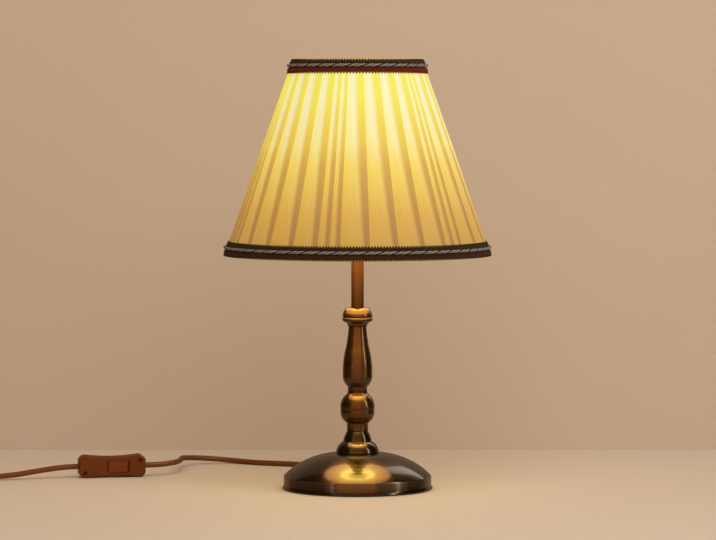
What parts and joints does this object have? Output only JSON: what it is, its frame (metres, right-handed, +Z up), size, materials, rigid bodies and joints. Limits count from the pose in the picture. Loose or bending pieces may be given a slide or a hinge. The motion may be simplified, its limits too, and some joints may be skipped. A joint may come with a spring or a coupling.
{
  "type": "table lamp",
  "caption": "Table lamp with a turned metal stem on a domed round foot, a pleated conical fabric shade with braided trim, and a brown mains cord with an in-line switch.",
  "frame": {"origin": "on the table under the middle of the base", "axes": "+Z up along the stem, +X to the right and -Y towards the viewer at the lamp's front"},
  "size_m": [0.6231, 0.3745, 0.4307],
  "materials": {
    "antique_brass": "brushed and darkened, lightly lacquered",
    "cast_weight": "rough casting",
    "cover_plate": "black painted sheet",
    "felt": "dark green felt",
    "zinc_steel": "zinc plated",
    "holder_plastic": "moulded, satin",
    "wire_insulation": "extruded",
    "contact_brass": "pressed",
    "cord_plastic": "smooth extruded",
    "switch_plastic": "smooth moulded",
    "rocker_plastic": "smooth moulded",
    "tie_plastic": "soft strap",
    "pin_metal": "nickel plated",
    "shade_cloth": "fine plain weave",
    "trim_braid": "braided",
    "trim_cord": "twisted cord",
    "frame_wire": "white coating",
    "bulb_glass": "clear",
    "bulb_cap_metal": "threaded sheet"
  },
  "bodies": {
    "lamp": {"base_shell": "antique_brass", "foot_bell": "antique_brass", "ball_spindle": "antique_brass", "vase_column": "antique_brass", "collar_cup": "antique_brass", "collar_cap": "antique_brass", "upper_tube": "antique_brass", "base_weight": "cast_weight", "base_cover": "cover_plate", "felt_pad": "felt", "cord_bush": "cord_plastic", "cord_clamp": "holder_plastic", "cord_clamp_screws": "zinc_steel", "threaded_rod": "zinc_steel", "rod_washer": "zinc_steel", "rod_nut": "zinc_steel", "holder_cap": "holder_plastic", "holder_shell": "holder_plastic", "holder_insert": "holder_plastic", "terminal_screws": "zinc_steel", "supply_wires": "wire_insulation", "holder_screw_shell": "contact_brass", "holder_centre_contact": "contact_brass", "cord_inner_end": "cord_plastic", "cord_to_switch": "cord_plastic", "cord_to_coil": "cord_plastic", "cord_coil": "cord_plastic", "coil_tie": "tie_plastic", "cord_plug_lead": "cord_plastic", "plug_strain_relief": "switch_plastic", "plug_body": "switch_plastic", "plug_pins": "pin_metal", "switch_front_shell": "switch_plastic", "switch_back_shell": "switch_plastic", "switch_screws": "zinc_steel"},
    "shade": {"shade_cover": "shade_cloth", "shade_bottom_ring": "frame_wire", "shade_top_ring": "frame_wire", "shade_ribs": "frame_wire", "shade_fitting_ring": "frame_wire", "shade_arms": "frame_wire", "bottom_trim_band": "trim_braid", "bottom_trim_cord": "trim_cord", "top_trim_band": "trim_braid", "top_trim_cord": "trim_cord"},
    "ring_nut": {"shade_ring_nut": "holder_plastic"},
    "bulb": {"bulb_glass": "bulb_glass", "bulb_cap": "bulb_cap_metal", "bulb_contact": "contact_brass", "bulb_stem": "bulb_glass", "bulb_filament": "zinc_steel"},
    "rocker": {"switch_rocker": "rocker_plastic"}
  },
  "joints": [
    {"name": "shade_turn", "type": "hinge", "parent": "lamp", "child": "shade", "pos_m": [0, 0, 0.2955], "axis": [0, 0, 1], "continuous": true},
    {"name": "ring_nut_turn", "type": "hinge", "parent": "lamp", "child": "ring_nut", "pos_m": [0, 0, 0.297], "axis": [0, 0, 1], "continuous": true},
    {"name": "bulb_turn", "type": "hinge", "parent": "lamp", "child": "bulb", "pos_m": [0, 0, 0.31], "axis": [0, 0, 1], "continuous": true},
    {"name": "rocker_tilt", "type": "hinge", "parent": "lamp", "child": "rocker", "pos_m": [-0.24726, 0.10014, 0.0116], "axis": [0, 0, 1], "range_deg": [0, 14]}
  ]
}
